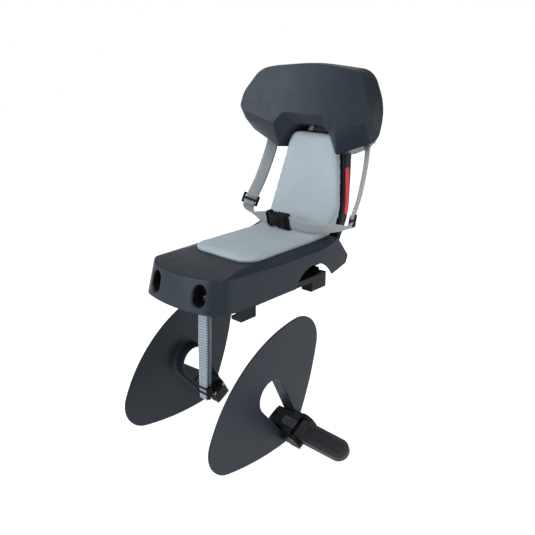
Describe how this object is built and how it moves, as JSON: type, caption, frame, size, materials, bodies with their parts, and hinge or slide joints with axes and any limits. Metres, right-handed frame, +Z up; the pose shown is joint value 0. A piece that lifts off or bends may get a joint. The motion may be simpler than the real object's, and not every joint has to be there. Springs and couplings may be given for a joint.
{
  "type": "child bike seat",
  "caption": "Junior bicycle seat for a rear carrier: padded bench, sliding headrest, waist harness, carrier clamps, and wheel guards with folding footrests.",
  "frame": {"origin": "middle of the base's underside, where it rests on the carrier's tubes", "axes": "+Z up, the child faces -Y, +X is to the right of someone who faces the seat from the front"},
  "size_m": [0.5158, 0.4955, 0.7055],
  "materials": {
    "shell_plastic": "satin",
    "black_plastic": "satin",
    "pad_foam": "soft matte",
    "harness_webbing": "woven",
    "frame_webbing": "ribbed weave",
    "red_trim": "smooth",
    "lock_plastic": "satin",
    "tread_rubber": "matte",
    "steel": "zinc plated"
  },
  "bodies": {
    "seat": {"seat_shell": "shell_plastic", "guard_right": "shell_plastic", "guard_left": "shell_plastic", "back_frame": "black_plastic", "base_plate": "black_plastic", "port_sleeves": "black_plastic", "footrest_bracket_right": "black_plastic", "footrest_bracket_left": "black_plastic", "stay_jaw_right": "black_plastic", "stay_jaw_left": "black_plastic", "ladder_lock": "black_plastic", "seat_cushion": "pad_foam", "safety_strap": "frame_webbing", "side_trims": "red_trim", "base_screws": "steel", "frame_bolts": "steel", "lock_bolts": "steel", "lock_washers": "steel", "lock_nuts": "steel", "strap_pin": "steel", "bracket_screws": "steel", "hinge_pins": "steel"},
    "headrest": {"headrest_shell": "shell_plastic", "headrest_back": "shell_plastic", "headrest_screws": "steel", "detent_spring": "steel", "strap_anchors": "steel", "shoulder_strap_right": "harness_webbing", "shoulder_strap_left": "harness_webbing", "strap_slider_right": "black_plastic", "strap_slider_left": "black_plastic", "waist_strap_right": "harness_webbing", "waist_strap_left": "harness_webbing", "buckle_socket": "black_plastic", "buckle_plug": "black_plastic"},
    "clamp_right": {"clamp_rail_right": "black_plastic"},
    "footrest_right": {"footrest_right": "black_plastic", "footrest_tread_right": "tread_rubber"},
    "fold_lock_right": {"fold_lock_right": "lock_plastic"},
    "clamp_left": {"clamp_rail_left": "black_plastic"},
    "footrest_left": {"footrest_left": "black_plastic", "footrest_tread_left": "tread_rubber"},
    "fold_lock_left": {"fold_lock_left": "lock_plastic"}
  },
  "joints": [
    {"name": "headrest_slide", "type": "slide", "parent": "seat", "child": "headrest", "axis": [0, 0.1994, 0.9799], "range_m": [0, 0.06]},
    {"name": "clamp_slide_right", "type": "slide", "parent": "seat", "child": "clamp_right", "axis": [1, 0, 0], "range_m": [-0.01, 0.008]},
    {"name": "footrest_fold_right", "type": "hinge", "parent": "seat", "child": "footrest_right", "pos_m": [0.15, -0.03139, -0.25684], "axis": [0, -0.8746, -0.4848], "range_deg": [0, 95]},
    {"name": "fold_lock_press_right", "type": "slide", "parent": "seat", "child": "fold_lock_right", "axis": [-0.1908, 0.4759, -0.8586], "range_m": [0, 0.003], "stiffness_N_per_m": 400, "springref_m": -0.002},
    {"name": "clamp_slide_left", "type": "slide", "parent": "seat", "child": "clamp_left", "axis": [-1, 0, 0], "range_m": [-0.01, 0.008]},
    {"name": "footrest_fold_left", "type": "hinge", "parent": "seat", "child": "footrest_left", "pos_m": [-0.15, -0.03139, -0.25684], "axis": [0, 0.8746, 0.4848], "range_deg": [0, 95]},
    {"name": "fold_lock_press_left", "type": "slide", "parent": "seat", "child": "fold_lock_left", "axis": [0.1908, 0.4759, -0.8586], "range_m": [0, 0.003], "stiffness_N_per_m": 400, "springref_m": -0.002}
  ]
}
